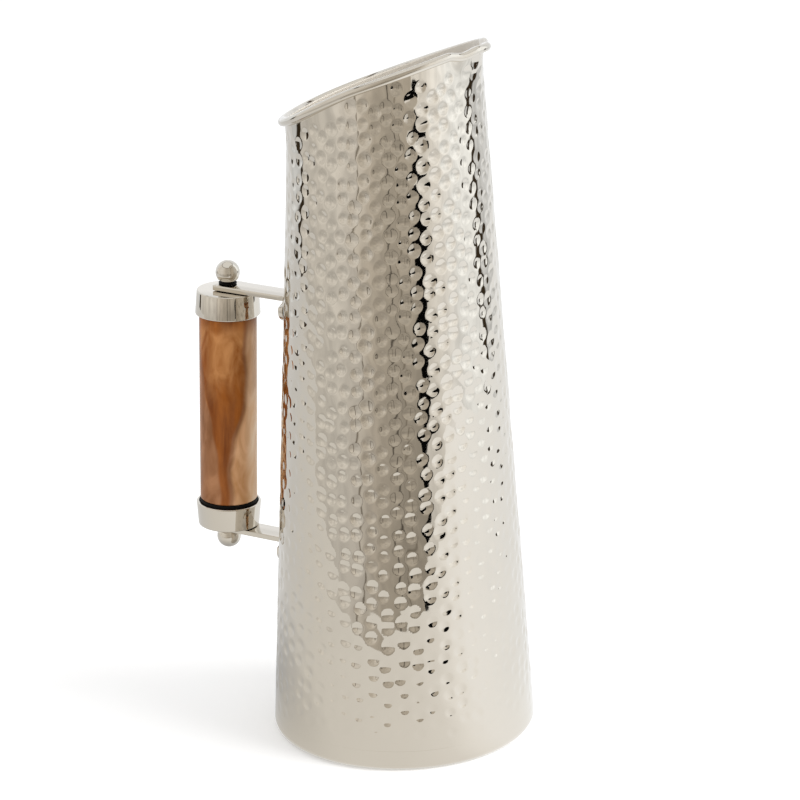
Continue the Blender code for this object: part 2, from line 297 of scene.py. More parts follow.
def polished_nickel(name, colour, dull, uneven=1.0):
    """Bright nickel plate: a faint cloudiness in colour and gloss, and fine polishing lines."""
    finish, node, link, shader = bare_finish(name, {"Metallic": 1.0})
    place = node("ShaderNodeTexCoord")

    cloud = set_inputs(node("ShaderNodeTexNoise"), {"Scale": 38.0, "Detail": 4.0})
    link(place.outputs["Object"], cloud.inputs["Vector"])
    tint = node("ShaderNodeMix")
    tint.data_type = "RGBA"
    tint.inputs["A"].default_value = (*[c * 0.965 for c in colour], 1)
    tint.inputs["B"].default_value = (*[min(c * 1.03, 1) for c in colour], 1)
    link(cloud.outputs["Fac"], tint.inputs["Factor"])
    link(tint.outputs["Result"], shader.inputs["Base Color"])

    stretch = set_inputs(node("ShaderNodeMapping"), {"Scale": (1.0, 1.0, 14.0)})
    link(place.outputs["Object"], stretch.inputs["Vector"])
    lines = set_inputs(node("ShaderNodeTexNoise"), {"Scale": 420.0, "Detail": 3.0})
    link(stretch.outputs["Vector"], lines.inputs["Vector"])
    gloss = set_inputs(node("ShaderNodeMapRange"), {
        "From Min": 0.3, "From Max": 0.75,
        "To Min": dull * (1 - 0.4 * uneven), "To Max": dull * (1 + 0.7 * uneven)})
    link(lines.outputs["Fac"], gloss.inputs["Value"])
    link(gloss.outputs["Result"], shader.inputs["Roughness"])
    return finish


def half_wall(start_angle):
    """Half of the sheet as a closed solid: hammered face, smooth inner face, foot, top and ends."""
    angle = start_angle + np.linspace(0, math.pi, half_columns + 1)
    top = mouth_height(angle) - wall_below_bead

    def face(rows, inset, marks):
        share = np.linspace(0, 1, rows + 1)
        height = wall_foot + share[None, :] * (top[:, None] - wall_foot)
        turn = np.broadcast_to(angle[:, None], height.shape)
        margin = angle[1] - angle[0]
        before = wall_points(turn[:1] - margin, height[:1], inset, marks)
        after = wall_points(turn[-1:] + margin, height[-1:], inset, marks)
        points = wall_points(turn, height, inset, marks)
        normal = grid_normals(np.concatenate([before, points, after]))[1:-1]
        return points, normal

    outside, outside_normal = face(outer_rows, 0.0, 1.0)
    inside, inside_normal = face(inner_rows, sheet, 0.0)
    across = half_columns + 1
    along = outer_rows + 1
    inner_along = inner_rows + 1
    inner_first = across * along
    step = np.arange(half_columns)
    foot = np.stack([step * along, (step + 1) * along,
                     inner_first + (step + 1) * inner_along, inner_first + step * inner_along], axis=-1)
    top_edge = foot + np.array([along - 1, along - 1, inner_along - 1, inner_along - 1])
    down_inside = inner_first + np.arange(inner_along)[::-1]
    end = np.concatenate([np.arange(along), down_inside])
    far_end = np.concatenate([half_columns * along + np.arange(along),
                              half_columns * inner_along + down_inside])
    faces = [np.concatenate([grid_faces(across, along),
                             grid_faces(across, inner_along, inner_first)[:, ::-1],
                             foot[:, ::-1], top_edge]),
             np.stack([end, far_end[::-1]])]
    points = np.concatenate([outside.reshape(-1, 3), inside.reshape(-1, 3)])
    normals = np.concatenate([outside_normal.reshape(-1, 3), -inside_normal.reshape(-1, 3)])
    return points, faces, normals


hammered_nickel = polished_nickel("hammered_nickel", nickel_colour, dull=0.035)

# The inner face isn't polished after plating: a dull satin that scatters light.
satin_nickel = polished_nickel("satin_nickel", nickel_colour, dull=0.40, uneven=0.1)
set_inputs(satin_nickel.node_tree.nodes["Principled BSDF"], {"Metallic": 0.0, "Specular IOR Level": 1.0})
inner_face = np.zeros(half_columns * (outer_rows + inner_rows + 2) + 2, dtype=np.int32)
inner_face[half_columns * outer_rows:half_columns * (outer_rows + inner_rows)] = 1
for name, start_angle in (("body_wall_near", -math.pi), ("body_wall_far", 0.0)):
    points, faces, normals = half_wall(start_angle)
    wall = make_piece(name, points, faces, hammered_nickel, normals)
    wall.data.materials.append(satin_nickel)
    wall.data.polygons.foreach_set("material_index", inner_face)
    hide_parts("body_shell")

# ---- Bottom pan -------------------------------------------------------------------------------
# A disc drawn into a shallow pan with a rounded edge and a short upstand. The wall is brazed
# to its rim, and the joint is ground flush before plating, so that it doesn't show.

bottom_edge = 4.0 * mm
pan_floor = 1.4 * mm
around_body = 256


def rounded(corners, steps=7):
    """An outline from (x, y, radius) corners: each becomes the arc that touches both its sides."""
    outline = []
    for number, (x, y, radius) in enumerate(corners):
        corner = np.array([x, y])
        if radius == 0:
            outline.append(corner)
            continue
        before = np.array(corners[number - 1][:2]) - corner
        after = np.array(corners[(number + 1) % len(corners)][:2]) - corner
        before, after = before / np.linalg.norm(before), after / np.linalg.norm(after)
        half = math.acos(np.clip(before @ after, -1, 1)) / 2
        middle = corner + (before + after) / np.linalg.norm(before + after) * radius / math.sin(half)
        first = corner + before * radius / math.tan(half) - middle
        last = corner + after * radius / math.tan(half) - middle
        sweep = math.pi - 2 * half
        for share in np.linspace(0, 1, steps + 1):
            blend = (math.sin((1 - share) * sweep) * first + math.sin(share * sweep) * last)
            outline.append(middle + blend / math.sin(sweep))
    return np.array(outline)


def turned(outline, segments):
    """An outline of (radius, height) points spun about Z. Its ends close on the axis or meet."""
    poles = [outline[0], outline[-1]] if outline[0][0] == 0 else []
    ring = outline[1:-1] if poles else np.concatenate([outline, outline[:1]])
    turn = np.arange(segments) * math.tau / segments
    points = np.stack([ring[None, :, 0] * np.cos(turn)[:, None],
                       ring[None, :, 0] * np.sin(turn)[:, None],
                       np.broadcast_to(ring[None, :, 1], (segments, len(ring)))], axis=-1)
    along = len(ring)
    points = points.reshape(-1, 3)
    if not poles:
        points = points.reshape(segments, along, 3)[:, :-1].reshape(-1, 3)
        quads = grid_faces(segments, along - 1, wrap=True)
        i = np.arange(segments)
        k = (i + 1) % segments
        last = along - 2
        closing = np.stack([i * (along - 1) + last, k * (along - 1) + last,
                            k * (along - 1), i * (along - 1)], axis=-1)
        return points, [np.concatenate([quads, closing])]
    quads = grid_faces(segments, along, wrap=True)
    i = np.arange(segments)
    k = (i + 1) % segments
    start, end = len(points), len(points) + 1
    fan = np.stack([np.full(segments, start), k * along, i * along], axis=-1)
    far_fan = np.stack([np.full(segments, end), i * along + along - 1, k * along + along - 1], axis=-1)
    tips = np.array([[0, 0, pole[1]] for pole in poles])
    return np.concatenate([points, tips]), [quads, np.concatenate([fan, far_fan])]


foot_radius = float(wall_radius(0.0))
rim_radius = float(wall_radius(wall_foot))
pan_outline = rounded([
    (0, 0, 0), (foot_radius, 0, bottom_edge), (rim_radius, wall_foot, 0.05 * mm),
    (rim_radius - sheet, wall_foot, 0.05 * mm),
    (foot_radius - sheet, pan_floor, bottom_edge - sheet), (0, pan_floor, 0)], steps=12)
pan_nickel = polished_nickel("pan_nickel", nickel_colour, dull=0.04)
pan = make_piece("bottom_pan", *turned(pan_outline, around_body), pan_nickel)
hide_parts("base_pan")

# ---- Rim bead ---------------------------------------------------------------------------------
# A round wire is soldered along the outside of the cut edge, and the inner edge is dressed
# smooth, so that the mouth has a rounded bead with the lip pressed into it.

bead_radius = 1.75 * mm
bead_stand_off = 1.0 * mm
bead_steps = 520
skirt_depth = 2.3 * mm
skirt_inset = 0.04 * mm

wall_side = -bead_stand_off - skirt_inset
inner_side = -bead_stand_off - sheet + skirt_inset
meet = math.asin(wall_side / bead_radius)
bead_turns = np.linspace(-math.pi / 2 + meet, math.radians(118), 34)
bead_round = np.stack([bead_radius * np.cos(bead_turns), bead_radius * np.sin(bead_turns)], axis=-1)
inner_edge = rounded([(bead_round[-1][0], bead_round[-1][1], 0), (inner_side, 1.15 * mm, 0.9 * mm),
                      (inner_side, -skirt_depth, 0), (wall_side, -skirt_depth, 0)], steps=8)
bead_section = np.concatenate([bead_round, inner_edge[1:]])

turn = np.arange(bead_steps) * math.tau / bead_steps


def bead_line(angle):
    """The wire's centre: the wall's top edge, moved out by the stand-off."""
    height = mouth_height(angle)
    radius = outer_radius(angle, height) + bead_stand_off
    return np.stack([radius * np.cos(angle), radius * np.sin(angle), height], axis=-1)


line = bead_line(turn)
heading = bead_line(turn + 1e-4) - bead_line(turn - 1e-4)
heading /= np.linalg.norm(heading, axis=-1, keepdims=True)
outward = np.stack([np.cos(turn), np.sin(turn), np.zeros(bead_steps)], axis=-1)
outward -= heading * np.einsum("ij,ij->i", outward, heading)[:, None]
outward /= np.linalg.norm(outward, axis=-1, keepdims=True)
rising = np.cross(outward, heading)
bead_points = (line[:, None] + bead_section[None, :, :1] * outward[:, None]
               + bead_section[None, :, 1:] * rising[:, None])
section_count = len(bead_section)
i = np.arange(bead_steps)
k = (i + 1) % bead_steps
seam = np.stack([i * section_count + section_count - 1, k * section_count + section_count - 1,
                 k * section_count, i * section_count], axis=-1)
bead_faces = [np.concatenate([grid_faces(bead_steps, section_count, wrap=True), seam])]
bead_nickel = polished_nickel("bead_nickel", nickel_colour, dull=0.05)
bead = make_piece("rim_bead", bead_points.reshape(-1, 3), bead_faces, bead_nickel)
bead.data.materials.append(satin_nickel)
first_inner = len(bead_round) + 3
on_inner_side = np.arange(section_count - 1) >= first_inner
bead_finish = np.concatenate([np.tile(on_inner_side, bead_steps), np.zeros(bead_steps, dtype=bool)])
bead.data.polygons.foreach_set("material_index", bead_finish.astype(np.int32))
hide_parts("rim_wire")

# ---- Handle bars ------------------------------------------------------------------------------
# Two flat bars carry the grip. Each has a square end under a ball nut, and its other end is
# bent down flat against the wall, spread into a rounded foot and brazed on.

handle_origin = np.array([-85.1, 0.0, 74.2]) * mm
handle_lean = math.radians(2.6)
bar_thickness = 2.25 * mm
bar_half_width = 5.5 * mm
bar_overhang = 4.4 * mm
bend_radius = 2.3 * mm
lower_foot_half_width = 10.2 * mm
upper_foot_half_width = 12.0 * mm
foot_straight = 1.5 * mm
foot_round = 6.7 * mm
bar_edge = 0.22 * mm
gap = 0.3 * mm
lower_bar_face = 3.25 * mm
upper_bar_face = 114.2 * mm


def in_handle(points):
    """From the handle's own axes (Z up the grip, X to the body) to the pitcher's."""
    x, y, z = points[..., 0], points[..., 1], points[..., 2]
    turned_x = x * math.cos(handle_lean) + z * math.sin(handle_lean)
    turned_z = z * math.cos(handle_lean) - x * math.sin(handle_lean)
    return np.stack([turned_x, y, turned_z], axis=-1) + handle_origin


def wall_distance(height):
    """From the grip's axis to the wall, along the handle's own X, at a height of its Z."""
    start = taper * handle_origin[2] - base_radius - handle_origin[0]
    slope = taper * math.cos(handle_lean) - math.sin(handle_lean)
    return (start + height * slope) / (math.cos(handle_lean) + taper * math.sin(handle_lean))


def bar_ring(half_width, half_thickness):
    """A flat bar's cross-section: a rectangle with rounded edges, as (across, side) points."""
    edge = min(bar_edge, half_width * 0.8, half_thickness * 0.8)
    w, t = half_width, half_thickness
    return rounded([(-w, -t, edge), (w, -t, edge), (w, t, edge), (-w, t, edge)], steps=4)


def bar_points(under_face, foot_half_width):
    """Cross-sections carried along the bar's middle line: straight, an arc down, then straight."""
    middle = under_face + bar_thickness / 2
    bend = math.pi / 2 + math.atan(taper) - handle_lean
    outside = bend_radius + bar_thickness / 2
    contact = middle - bend_radius + outside * math.cos(bend)
    bend_start = wall_distance(contact) - gap - outside * math.sin(bend)
    bend_end = bend_start + bend_radius * bend
    round_start = bend_end + foot_straight

    swing = np.radians(np.linspace(0, 90, 5))
    stations = [(bar_edge * (1 - math.cos(a)) - bar_overhang, bar_half_width, bar_edge * (1 - math.sin(a)))
                for a in swing]
    straight = np.linspace(-bar_overhang + 1 * mm, bend_start, 12)
    stations += [(along, bar_half_width, 0) for along in straight]
    spread = np.linspace(0, 1, 17)[1:]
    stations += [(bend_start + (bend_end - bend_start) * s,
                  bar_half_width + (foot_half_width - bar_half_width) * (3 * s * s - 2 * s ** 3), 0)
                 for s in spread]
    curl = np.radians(np.linspace(0, 86, 25))
    stations += [(round_start + foot_round * math.sin(a), foot_half_width * math.cos(a), 0) for a in curl]

    rings = []
    for along, half, shrink in stations:
        ring = bar_ring(half - shrink, bar_thickness / 2 - shrink)
        angle = min(max((along - bend_start) / bend_radius, 0.0), bend)
        normal = np.array([math.sin(angle), 0, math.cos(angle)])
        ahead_of_bar = np.array([math.cos(angle), 0, -math.sin(angle)])
        past = along - bend_start if along < bend_start else max(along - bend_end, 0.0)
        centre = np.array([bend_start, 0, middle - bend_radius]) + ahead_of_bar * past
        rings.append(centre + normal * (bend_radius + ring[:, 1:]) + np.array([0, 1, 0]) * ring[:, :1])
    return np.array(rings)


def tube_faces(rings, count):
    """Quads between closed rings, with one flat face at each end."""
    numbers = np.arange(rings * count).reshape(rings, count)
    nexts = np.roll(numbers, -1, axis=1)
    quads = np.stack([numbers[:-1], nexts[:-1], nexts[1:], numbers[1:]], axis=-1).reshape(-1, 4)
    return [quads, np.stack([numbers[0][::-1], numbers[-1]])]


bar_nickel = polished_nickel("bar_nickel", nickel_colour, dull=0.05)
for name, face, foot_half_width in (("lower_bar", lower_bar_face, lower_foot_half_width),
                                    ("upper_bar", upper_bar_face, upper_foot_half_width)):
    rings = bar_points(face, foot_half_width)
    bar = make_piece(name, in_handle(rings.reshape(-1, 3)), tube_faces(*rings.shape[:2]), bar_nickel)
    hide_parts(name.replace("bar", "arm"))

# ---- Ferrules ---------------------------------------------------------------------------------
# Two turned cups with a slight flare and softened edges hold the ends of the grip. They are
# nickel plated like the bars, and are drilled for the tie rod.

ferrule_height = 10.7 * mm
lower_rim = 16.5 * mm
upper_end = 113.9 * mm
closed_radius = 13.5 * mm
open_radius = 14.3 * mm
ferrule_bore = 13.15 * mm
ferrule_end = 1.2 * mm
ferrule_edge = 0.55 * mm
rod_bore = 2.8 * mm
around_ferrule = 160


def ferrule_outline(closed, rim):
    """The cup's wall in section: flat end, flared side, rounded lip, bore and inner end."""
    way = 1 if rim > closed else -1
    inside = closed + way * ferrule_end
    return rounded([
        (rod_bore, closed, 0.1 * mm), (closed_radius, closed, ferrule_edge),
        (open_radius, rim, ferrule_edge * 0.95), (ferrule_bore, rim, 0.15 * mm),
        (ferrule_bore, inside, 0.3 * mm), (rod_bore, inside, 0.1 * mm)])


ferrule_nickel = polished_nickel("ferrule_nickel", nickel_colour, dull=0.04)
for name, closed, rim in (("lower_ferrule", lower_rim - ferrule_height, lower_rim),
                          ("upper_ferrule", upper_end, upper_end - ferrule_height)):
    points, faces = turned(ferrule_outline(closed, rim), around_ferrule)
    cup = make_piece(name + "_cup", in_handle(points), faces, ferrule_nickel)
    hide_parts(name)

# ---- Grip -------------------------------------------------------------------------------------
# A bar of cast resin, marbled to look like horn: honey and tan with a dark brown flame that
# narrows downwards. It is turned, polished to a gloss and drilled for the tie rod.
# Its colour also holds painted shade on the side facing the wall, a painted shadow under the upper ferrule,
# and a painted sheen on the flank towards the key light.

grip_radius = 12.6 * mm
tenon_radius = 11.6 * mm
grip_bottom = lower_rim - ferrule_height + ferrule_end + gap
grip_top = upper_end - ferrule_end - gap
lower_shoulder = 18.15 * mm
upper_shoulder = upper_end - ferrule_height - gap
around_grip = 200
front = math.radians(-63)


def marbled_resin(name):
    """Swirled horn-coloured resin under a clear gloss, in the grip's own axes."""
    finish, node, link, shader = bare_finish(name, {
        "Roughness": 0.20, "IOR": 1.40, "Specular IOR Level": 0.10,
        "Coat Weight": 0.05, "Coat Roughness": 0.05})
    place = node("ShaderNodeTexCoord")
    centre = node("ShaderNodeMapping")
    centre.vector_type = "TEXTURE"
    set_inputs(centre, {"Location": tuple(handle_origin), "Rotation": (0, handle_lean, 0)})
    link(place.outputs["Object"], centre.inputs["Vector"])

    def noise(scale, detail, squeeze, rough, twist):
        stretch = set_inputs(node("ShaderNodeMapping"), {"Scale": (1, 1, squeeze)})
        link(centre.outputs["Vector"], stretch.inputs["Vector"])
        field = set_inputs(node("ShaderNodeTexNoise"), {
            "Scale": scale, "Detail": detail, "Roughness": rough, "Distortion": twist})
        link(stretch.outputs["Vector"], field.inputs["Vector"])
        return field.outputs["Fac"]

    def spread(value, low, high):
        gain = set_inputs(node("ShaderNodeMapRange"), {"From Min": low, "From Max": high})
        link(value, gain.inputs["Value"])
        return gain.outputs["Result"]

    def mixed(below, above, share):
        mix = node("ShaderNodeMix")
        mix.data_type = "RGBA"
        link(share, mix.inputs["Factor"])
        for socket, tone in (("A", below), ("B", above)):
            if isinstance(tone, tuple):
                mix.inputs[socket].default_value = (*tone, 1)
            else:
                link(tone, mix.inputs[socket])
        return mix.outputs["Result"]

    def layer(name):
        attribute = node("ShaderNodeAttribute")
        attribute.attribute_name = name
        return attribute.outputs["Fac"]

    cloud = spread(noise(120, 4, 0.45, rough=0.5, twist=0.8), 0.34, 0.64)
    fibre = spread(noise(190, 5, 0.16, rough=0.6, twist=0.5), 0.32, 0.68)
    colour = mixed((0.21, 0.085, 0.033), (0.39, 0.185, 0.088), cloud)
    colour = mixed(colour, mixed((0.50, 0.25, 0.105), (0.76, 0.46, 0.26), cloud), layer("tan"))
    # The pale layer is a painted sheen on the flank towards the key light.
    colour = mixed(colour, mixed((0.82, 0.54, 0.32), (0.95, 0.74, 0.53), cloud), layer("pale"))
    colour = mixed(colour, mixed((0.25, 0.072, 0.010), (0.57, 0.265, 0.095), cloud), layer("honey"))
    # The smoke and flame layers are dark marbling, and also carry painted shade on the wall side and a
    # painted shadow under the upper ferrule.
    colour = mixed(colour, mixed((0.12, 0.024, 0.002), (0.32, 0.093, 0.013), fibre), layer("smoke_and_painted_shade"))
    colour = mixed(colour, mixed((0.080, 0.011, 0.001), (0.20, 0.038, 0.002), fibre), layer("flame"))
    link(colour, shader.inputs["Base Color"])
    return finish


grip_outline = rounded([
    (rod_bore, grip_bottom, 0), (tenon_radius, grip_bottom, 0.3 * mm),
    (tenon_radius, lower_shoulder, 0), (grip_radius, lower_shoulder, 0.35 * mm),
    (grip_radius, upper_shoulder, 0.35 * mm), (tenon_radius, upper_shoulder, 0),
    (tenon_radius, grip_top, 0.3 * mm), (rod_bore, grip_top, 0)])
split = int(np.argmax(np.abs(np.diff(grip_outline[:, 1]))))
side = np.linspace(grip_outline[split], grip_outline[split + 1], 242)[1:-1]
grip_outline = np.concatenate([grip_outline[:split + 1], side, grip_outline[split + 1:]])
points, faces = turned(grip_outline, around_grip)
resin = marbled_resin("marbled_resin")
grip = make_piece("resin_grip", in_handle(points), faces, resin)


def marbling(across, share):
    """How much of each colour shows, from degrees round from the front and the share of height.

    A V of honey and brown lies between two wandering edges, which are angles read off by height.
    Each layer is a product of smooth steps across those edges and up the grip.
    """
    wander = 3 * np.sin(11 * share + 1.3) + 1.5 * np.sin(29 * share)
    right_edge = wander + np.interp(
        share, [0, 0.2, 0.3, 0.44, 0.56, 0.75, 1], [0, 1, 8, 20, 32, 35, 36])
    left_edge = wander + np.interp(
        share, [0, 0.2, 0.3, 0.44, 0.56, 1], [-19, -18, -20, -33, -51, -78])
    inside = (smooth_step(across, left_edge - 3, left_edge + 5)
              * smooth_step(across, right_edge + 4, right_edge - 4))
    right_band = np.exp(-((across - right_edge - 1) / 8) ** 2) * smooth_step(share, 0.22, 0.42)
    left_line = np.exp(-((across - left_edge) / 4) ** 2) * smooth_step(share, 0.75, 0.5)
    low_fill = (inside * smooth_step(share, 0.50, 0.26)
                * (0.75 + 0.25 * smooth_step(share, 0.0, 0.12)))
    # Painted shade: the side facing the wall and the back is darkened, through the flame layer.
    wall_side = smooth_step(np.abs(across - 121), 60, 51)
    left_cloud = (0.28 * smooth_step(across, -12, -34) * smooth_step(across, -90, -70)
                  * smooth_step(share, 0.45, 0.60))
    # Painted shadow: the top of the grip under the upper ferrule is darkened, through the smoke layer.
    top_shade = 0.75 * smooth_step(share, 0.88, 1.0)
    dim_inside = 0.85 * inside * smooth_step(share, 0.80, 0.55)
    return {
        "honey": inside * smooth_step(share, 0.42, 0.60),
        "smoke_and_painted_shade": np.maximum.reduce([dim_inside, left_cloud, top_shade]),
        "tan": (smooth_step(across, right_edge + 4, right_edge + 14)
                * (0.65 + 0.35 * smooth_step(share, 0.62, 0.48))),
        # Painted sheen: the pale layer lightens the flank that faces the key light.
        "pale": smooth_step(across, 34, 58) * (0.40 + 0.60 * smooth_step(share, 0.66, 0.52)),
        "flame": np.maximum.reduce([right_band, 0.8 * left_line, low_fill, wall_side])}


across = np.arctan2(points[:, 1], points[:, 0]) - front
across = np.degrees((across + math.pi) % math.tau - math.pi)
share = (points[:, 2] - lower_shoulder) / (upper_shoulder - lower_shoulder)
for name, values in marbling(across, share).items():
    layer = grip.data.attributes.new(name, "FLOAT", "POINT")
    layer.data.foreach_set("value", np.clip(values, 0, 1).astype(np.float32))
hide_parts("grip")

# ---- Gaskets and washer -----------------------------------------------------------------------
# Black rubber rings seat the grip in its ferrules; the lower one shows as a thin black line.
# A small coned washer of the same rubber sits between the upper ball nut and the bar.

gasket_bore = 11.9 * mm
gasket_radius = 12.72 * mm
gasket_height = 3.85 * mm
gasket_showing = 1.35 * mm
washer_bottom = 116.75 * mm
washer_thickness = 0.9 * mm
washer_radius = 3.95 * mm
washer_top_radius = 3.3 * mm


def moulded_rubber(name):
    """Matt black rubber with a fine grain and a slightly greyer bloom in patches."""
    finish, node, link, shader = bare_finish(name, {"Roughness": 0.55, "Specular IOR Level": 0.12})
    place = node("ShaderNodeTexCoord")
    grain = set_inputs(node("ShaderNodeTexNoise"), {"Scale": 900.0, "Detail": 5.0})
    link(place.outputs["Object"], grain.inputs["Vector"])
    bloom = node("ShaderNodeMix")
    bloom.data_type = "RGBA"
    bloom.inputs["A"].default_value = (0.0015, 0.0013, 0.0012, 1)
    bloom.inputs["B"].default_value = (0.006, 0.005, 0.0045, 1)
    link(grain.outputs["Fac"], bloom.inputs["Factor"])
    link(bloom.outputs["Result"], shader.inputs["Base Color"])
    pores = set_inputs(node("ShaderNodeBump"), {"Strength": 0.3, "Distance": 0.05 * mm})
    link(grain.outputs["Fac"], pores.inputs["Height"])
    link(pores.outputs["Normal"], shader.inputs["Normal"])
    return finish


rubber = moulded_rubber("moulded_rubber")
for name, bottom in (("lower_gasket", lower_rim + gasket_showing - gasket_height),
                     ("upper_gasket", upper_end - ferrule_height)):
    outline = rounded([
        (gasket_bore, bottom, 0.1 * mm), (gasket_radius, bottom, 0.2 * mm),
        (gasket_radius, bottom + gasket_height, 0.35 * mm),
        (gasket_bore, bottom + gasket_height, 0.1 * mm)])
    points, faces = turned(outline, around_grip)
    ring = make_piece(name + "_ring", in_handle(points), faces, rubber)
    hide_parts(name)

washer_outline = rounded([
    (rod_bore, washer_bottom, 0), (washer_radius, washer_bottom, 0.1 * mm),
    (washer_radius, washer_bottom + 0.4 * washer_thickness, 0.12 * mm),
    (washer_top_radius, washer_bottom + washer_thickness, 0.1 * mm),
    (rod_bore, washer_bottom + washer_thickness, 0)])
points, faces = turned(washer_outline, 96)
washer = make_piece("ball_washer", in_handle(points), faces, rubber)
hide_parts("finial_washer")

# ---- Ball nuts --------------------------------------------------------------------------------
# Two turned ball nuts on short necks screw onto the tie rod's ends and clamp the whole handle.

ball_radius = 5.3 * mm
neck_radius = 3.3 * mm
neck_height = 0.5 * mm
ball_bore_depth = 4.8 * mm
lower_ball = -0.5 * mm
upper_ball = 121.6 * mm
lower_flat = 2.95 * mm
upper_flat = 117.95 * mm


def ball_outline(centre, flat):
    """Blind bore, flat, short neck and a sphere's arc from the neck to the pole."""
    away = 1 if centre > flat else -1
    neck = flat + away * neck_height
    start = math.asin(max(-1.0, (neck - centre) * away / ball_radius))
    arc = np.linspace(start, math.pi / 2, 40)[:-1]
    sphere = np.stack([ball_radius * np.cos(arc), centre + away * ball_radius * np.sin(arc)], axis=-1)
    bore_end = flat + away * ball_bore_depth
    inner = np.array([(0, bore_end), (rod_bore, bore_end), (rod_bore, flat),
                      (neck_radius, flat), (neck_radius, neck)])
    return np.concatenate([inner, sphere, [(0, centre + away * ball_radius)]])


ball_nickel = polished_nickel("ball_nickel", nickel_colour, dull=0.035)
for name, centre, flat in (("lower_finial", lower_ball, lower_flat),
                           ("upper_finial", upper_ball, upper_flat)):
    points, faces = turned(ball_outline(centre, flat), 96)
    ball = make_piece(name.replace("finial", "ball_nut"), in_handle(points), faces, ball_nickel)
    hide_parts(name)

# ---- Tie rod ----------------------------------------------------------------------------------
# A plain drawn-steel rod runs through both bars, both ferrules and the grip, and the ball nuts
# pull on its ends. It is hidden when the handle is together, so it keeps its own plain solid.

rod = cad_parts["tie_rod"]
rod.data.materials.clear()
rod.data.materials.append(polished_nickel("drawn_steel", (0.52, 0.51, 0.50), dull=0.28))

# ---- Floor ------------------------------------------------------------------------------------
# A plain pale matt floor. It glows very slightly, so that it stays paler than the soft shadow,
# and the nickel doesn't mirror it: the white table below takes its place in reflections.

floor_half = 6.0
floor = bpy.data.meshes.new("floor")
floor.from_pydata([(-floor_half, -floor_half, 0), (floor_half, -floor_half, 0),
                   (floor_half, floor_half, 0), (-floor_half, floor_half, 0)], [], [(0, 1, 2, 3)])
pale_floor = bare_finish("pale_floor", {
    "Base Color": (0.9, 0.9, 0.9, 1), "Roughness": 0.9, "Specular IOR Level": 0.0,
    "Emission Color": (1, 1, 1, 1), "Emission Strength": 0.22})[0]
floor.materials.append(pale_floor)
ground = bpy.data.objects.new("floor", floor)
bpy.context.scene.collection.objects.link(ground)
ground.location.z = cad_low.z - 0.05 * mm
ground.visible_glossy = False

# ---- White table, seen only in the nickel -----------------------------------------------------
# The table top that the polished wall mirrors: white, brighter on the side of the key light,
# shaded close behind the body on the left, and cut off at a slanting front edge.

table_front = 0.290
table_skew = 0.36
table_right = 0.70
table_left = -0.90
table_back = -3.0
shade_centre = (-0.05, -0.09)
shade_radius = 0.12
shaded_share = 0.66


def facing(forward, sideways, height=0.0):
    """A point given as metres towards the front, and to the right of it, seen from the front."""
    return (forward * math.cos(front) - sideways * math.sin(front),
            forward * math.sin(front) + sideways * math.cos(front), height)


def paint_ramp(ramp, stops):
    """Colour stops at angles from the front in degrees, from -180 to 180."""
    while len(ramp.elements) > 1:
        ramp.elements.remove(ramp.elements[-1])
    for number, (degrees, colour) in enumerate(stops):
        position = (degrees + 180) / 360
        stop = ramp.elements[0] if number == 0 else ramp.elements.new(position)
        stop.position = position
        stop.color = (*colour, 1)


def mirrored_only(piece):
    """Shows a piece in reflections, and nowhere else."""
    piece.visible_camera = False
    piece.visible_diffuse = False
    piece.visible_shadow = False


table = bpy.data.meshes.new("white_table")
table.from_pydata([facing(table_back, table_left), facing(table_back, table_right),
                   facing(table_front + table_skew * table_right, table_right),
                   facing(table_front + table_skew * table_left, table_left)], [], [(0, 1, 2, 3)])
glow = bpy.data.materials.new("white_table")
glow.use_nodes = True
glow.node_tree.nodes.clear()
node = glow.node_tree.nodes.new
link = glow.node_tree.links.new
place = node("ShaderNodeTexCoord")
table_turn = set_inputs(node("ShaderNodeMapping"), {"Rotation": (0, 0, -front)})
table_round = node("ShaderNodeTexGradient")
table_round.gradient_type = "RADIAL"
table_tone = node("ShaderNodeValToRGB")
paint_ramp(table_tone.color_ramp, [
    (-180, (0.86, 0.87, 0.88)), (-120, (0.77, 0.775, 0.78)), (-75, (0.84, 0.825, 0.79)),
    (0, (0.92, 0.905, 0.87)), (27, (0.99, 0.98, 0.955)), (41, (1.12, 1.12, 1.11)),
    (56, (1.17, 1.185, 1.20)), (73, (1.16, 1.18, 1.20)), (115, (1.09, 1.12, 1.15)),
    (180, (0.95, 0.96, 0.97))])
link(place.outputs["Object"], table_turn.inputs["Vector"])
link(table_turn.outputs["Vector"], table_round.inputs["Vector"])
link(table_round.outputs["Fac"], table_tone.inputs["Fac"])

shade_place = node("ShaderNodeMapping")
shade_place.vector_type = "TEXTURE"
set_inputs(shade_place, {"Location": facing(*shade_centre), "Scale": [shade_radius] * 3})
shade_ball = node("ShaderNodeTexGradient")
shade_ball.gradient_type = "SPHERICAL"
shade_share = set_inputs(node("ShaderNodeMapRange"), {"To Min": 1.0, "To Max": shaded_share})
shaded_tone = node("ShaderNodeVectorMath")
shaded_tone.operation = "SCALE"
link(place.outputs["Object"], shade_place.inputs["Vector"])
link(shade_place.outputs["Vector"], shade_ball.inputs["Vector"])
link(shade_ball.outputs["Fac"], shade_share.inputs["Value"])
link(table_tone.outputs["Color"], shaded_tone.inputs[0])
link(shade_share.outputs["Result"], shaded_tone.inputs["Scale"])

table_light = node("ShaderNodeEmission")
table_out = node("ShaderNodeOutputMaterial")
link(shaded_tone.outputs["Vector"], table_light.inputs["Color"])
link(table_light.outputs["Emission"], table_out.inputs["Surface"])
table.materials.append(glow)
white_table = bpy.data.objects.new("white_table", table)
bpy.context.scene.collection.objects.link(white_table)
white_table.location.z = cad_low.z - 0.1 * mm
mirrored_only(white_table)

